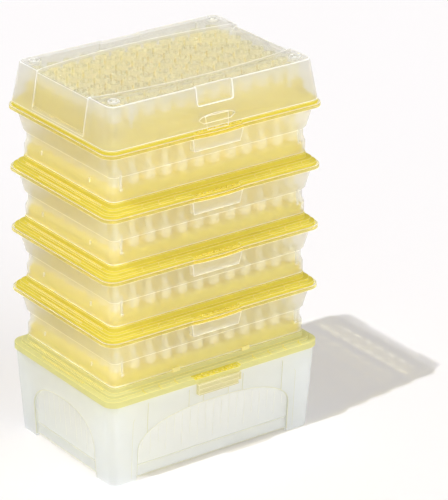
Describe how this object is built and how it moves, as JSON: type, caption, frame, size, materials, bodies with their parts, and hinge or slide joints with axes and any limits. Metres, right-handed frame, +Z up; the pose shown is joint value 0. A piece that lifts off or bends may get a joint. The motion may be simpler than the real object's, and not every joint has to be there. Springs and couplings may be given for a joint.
{
  "type": "box of pipette tips",
  "caption": "Stack of pipette tip boxes: a clear base box, refill trays with yellow rack plates full of tips, and a frosted hinged lid.",
  "frame": {"origin": "under the middle of the base box, on the surface that it stands on", "axes": "+X along the long side, -Y towards the front with the latch, +Z up the stack"},
  "size_m": [0.1216, 0.0882, 0.1886],
  "materials": {
    "clear_base": "clear polypropylene with a faint green tint",
    "yellow_plate": "translucent yellow polypropylene, satin",
    "frosted": "frosted milky polypropylene",
    "tip_plastic": "clear polypropylene"
  },
  "bodies": {
    "stack": {"base_box": "clear_base", "base_rack_plate": "yellow_plate", "refill_tray_1": "frosted", "refill_tray_2": "frosted", "refill_tray_3": "frosted", "refill_tray_4": "frosted", "rack_plate_1": "yellow_plate", "rack_plate_2": "yellow_plate", "rack_plate_3": "yellow_plate", "rack_plate_4": "yellow_plate", "tip_1": "tip_plastic", "tip_2": "tip_plastic", "tip_3": "tip_plastic", "tip_4": "tip_plastic", "tip_5": "tip_plastic", "tip_6": "tip_plastic", "tip_7": "tip_plastic", "tip_8": "tip_plastic", "tip_9": "tip_plastic", "tip_10": "tip_plastic", "tip_11": "tip_plastic", "tip_12": "tip_plastic"},
    "lid": {"lid": "frosted"}
  },
  "joints": [
    {"name": "lid_hinge", "type": "hinge", "parent": "stack", "child": "lid", "pos_m": [0, 0.0428, 0.1671], "axis": [-1, 0, 0], "range_deg": [0, 100]}
  ]
}
